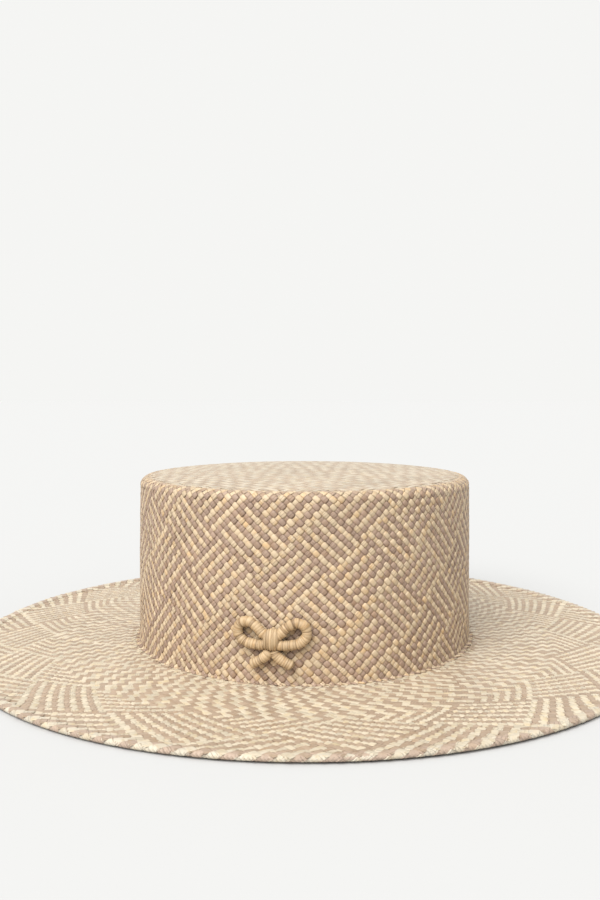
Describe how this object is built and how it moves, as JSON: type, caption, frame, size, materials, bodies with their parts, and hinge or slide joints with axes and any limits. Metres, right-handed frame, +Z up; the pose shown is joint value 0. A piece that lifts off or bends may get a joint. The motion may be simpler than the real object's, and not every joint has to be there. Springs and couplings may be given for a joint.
{
  "type": "boater hat",
  "caption": "Woven straw boater hat with an oval flat-topped crown, a wide flat brim with a turned edge, and a small wrapped-cord bow on the front.",
  "frame": {"origin": "on the surface the hat rests on, under the middle of the crown", "axes": "+Z up through the crown's top, +Y towards the back, along the head's length, so the front is at -Y and the wearer's left at +X"},
  "size_m": [0.3364, 0.367, 0.0877],
  "materials": {
    "crown_straw": "two-tone palm strands, satin",
    "brim_straw": "pressed palm strands, satin",
    "edge_straw": "turned-back palm strands, satin",
    "raffia_cord": "raffia windings, satin"
  },
  "bodies": {
    "root": {"crown": "crown_straw", "brim": "brim_straw", "brim_edge": "edge_straw", "bow_loop_left": "raffia_cord", "bow_loop_right": "raffia_cord", "bow_tail_left": "raffia_cord", "bow_tail_right": "raffia_cord", "bow_knot": "raffia_cord"}
  },
  "joints": []
}
